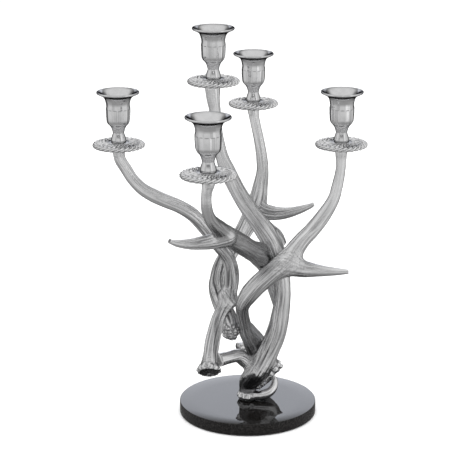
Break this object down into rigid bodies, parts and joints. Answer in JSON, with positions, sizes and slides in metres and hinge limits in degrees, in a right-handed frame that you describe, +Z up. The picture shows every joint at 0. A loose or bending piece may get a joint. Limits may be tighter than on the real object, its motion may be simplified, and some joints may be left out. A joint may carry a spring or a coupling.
{
  "type": "tabletop candelabra",
  "caption": "Silver-coloured metal candelabra of entwined stag antlers on a round black stone base, with flared candle cups standing on lobed drip pans at the antler tips.",
  "frame": {"origin": "centre of the underside of the base, on the face of the felt", "axes": "+Z up along the candles, +X towards the right-hand candle, +Y towards the rear candle"},
  "size_m": [0.3234, 0.415, 0.4675],
  "materials": {
    "antler_metal": "polished cast metal with long grooves",
    "cup_metal": "polished",
    "pan_metal": "polished",
    "stone": "polished black granite",
    "felt": "felt",
    "gasket": "matt",
    "steel": "plain zinc-plated"
  },
  "bodies": {
    "root": {"base_slab": "stone", "base_felt": "felt", "base_gasket": "gasket", "base_bolt": "steel", "base_spring_washer": "steel", "base_washer": "steel", "antler_left": "antler_metal", "antler_top": "antler_metal", "antler_back": "antler_metal", "antler_right": "antler_metal", "antler_front": "antler_metal", "pan_left": "pan_metal", "pan_top": "pan_metal", "pan_back": "pan_metal", "pan_right": "pan_metal", "pan_front": "pan_metal", "cup_left": "cup_metal", "cup_top": "cup_metal", "cup_back": "cup_metal", "cup_right": "cup_metal", "cup_front": "cup_metal", "cup_screws": "steel", "cup_spring_washers": "steel", "joint_studs": "steel"}
  },
  "joints": []
}
